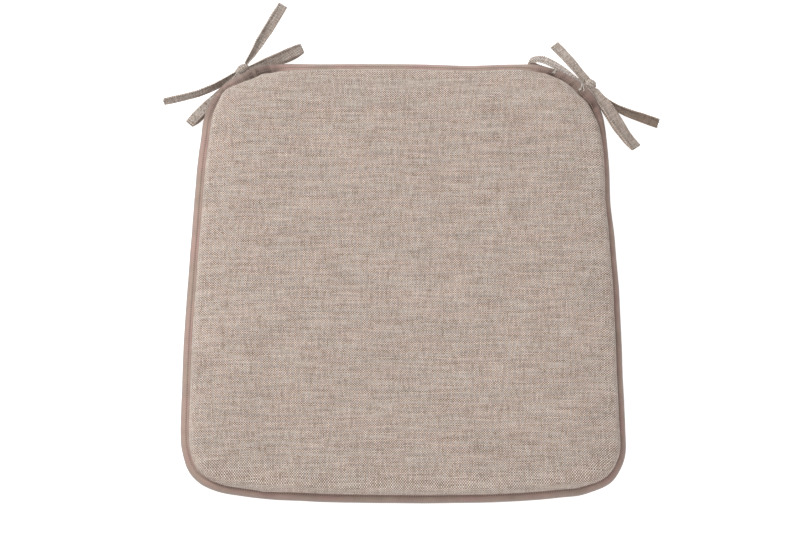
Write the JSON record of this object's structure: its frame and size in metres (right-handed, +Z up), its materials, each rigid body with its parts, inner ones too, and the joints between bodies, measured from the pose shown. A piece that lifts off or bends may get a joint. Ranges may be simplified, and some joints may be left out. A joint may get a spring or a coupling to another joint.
{
  "type": "seat cushion",
  "caption": "Thin foam seat pad, wider at the front, with rounded corners, a bound edge seam, and cloth tapes tied in bows at the back corners.",
  "frame": {"origin": "middle of the flat underside of the pad, on the surface that it rests on", "axes": "+Z up out of the seating face, +Y from the front edge to the back edge with the ties, +X to the right seen from above with the back edge away"},
  "size_m": [0.4292, 0.4616, 0.029],
  "materials": {
    "panel_cloth": "matte melange plain weave, beige",
    "binding_tape": "smooth satin tape, pinkish taupe",
    "tie_cloth": "matte melange plain weave, greyish beige",
    "sewing_thread": "matte polyester thread, taupe",
    "tack_thread": "matte polyester thread, ivory",
    "foam": "open-cell foam, cream"
  },
  "bodies": {
    "cushion": {"foam_core": "foam", "top_panel": "panel_cloth", "bottom_panel": "panel_cloth", "edge_binding": "binding_tape", "seam_thread_top": "sewing_thread", "seam_thread_bottom": "sewing_thread", "left_knot": "tie_cloth", "left_tack_back": "sewing_thread", "left_tack_side": "sewing_thread", "left_lead_back": "tie_cloth", "left_lead_side": "tie_cloth", "right_knot": "tie_cloth", "right_tack_back": "tack_thread", "right_tack_side": "tack_thread", "right_lead_back": "tie_cloth", "right_lead_side": "tie_cloth"},
    "left_tail_back_body": {"left_tail_back": "tie_cloth"},
    "left_tail_side_body": {"left_tail_side": "tie_cloth"},
    "left_loop_back_body": {"left_loop_back": "tie_cloth"},
    "left_loop_side_body": {"left_loop_side": "tie_cloth"},
    "right_tail_back_body": {"right_tail_back": "tie_cloth"},
    "right_tail_side_body": {"right_tail_side": "tie_cloth"},
    "right_loop_back_body": {"right_loop_back": "tie_cloth"},
    "right_loop_side_body": {"right_loop_side": "tie_cloth"}
  },
  "joints": [
    {"name": "left_tail_back_swing", "type": "hinge", "parent": "cushion", "child": "left_tail_back_body", "pos_m": [-0.1358, 0.2034, 0.0064], "axis": [0.8624, -0.5062, 0], "range_deg": [-30, 60]},
    {"name": "left_tail_side_swing", "type": "hinge", "parent": "cushion", "child": "left_tail_side_body", "pos_m": [-0.1451, 0.1954, 0.0062], "axis": [-0.4802, 0.8771, 0], "range_deg": [-30, 60]},
    {"name": "left_loop_back_swing", "type": "hinge", "parent": "cushion", "child": "left_loop_back_body", "pos_m": [-0.1327, 0.2005, 0.0055], "axis": [0.3803, -0.9249, 0], "range_deg": [-30, 0]},
    {"name": "left_loop_side_swing", "type": "hinge", "parent": "cushion", "child": "left_loop_side_body", "pos_m": [-0.1433, 0.1932, 0.0047], "axis": [-0.7612, 0.6485, 0], "range_deg": [-30, 0]},
    {"name": "right_tail_back_swing", "type": "hinge", "parent": "cushion", "child": "right_tail_back_body", "pos_m": [0.1583, 0.1897, 0.0058], "axis": [0.791, 0.6119, 0], "range_deg": [-30, 60]},
    {"name": "right_tail_side_swing", "type": "hinge", "parent": "cushion", "child": "right_tail_side_body", "pos_m": [0.1678, 0.1802, 0.003], "axis": [-0.7265, -0.6871, 0], "range_deg": [-30, 0]},
    {"name": "right_loop_back_swing", "type": "hinge", "parent": "cushion", "child": "right_loop_back_body", "pos_m": [0.156, 0.1863, 0.0045], "axis": [0.5735, 0.8192, 0], "range_deg": [-30, 0]},
    {"name": "right_loop_side_swing", "type": "hinge", "parent": "cushion", "child": "right_loop_side_body", "pos_m": [0.1657, 0.179, 0.007], "axis": [-0.8188, -0.5741, 0], "range_deg": [0, 60]}
  ]
}
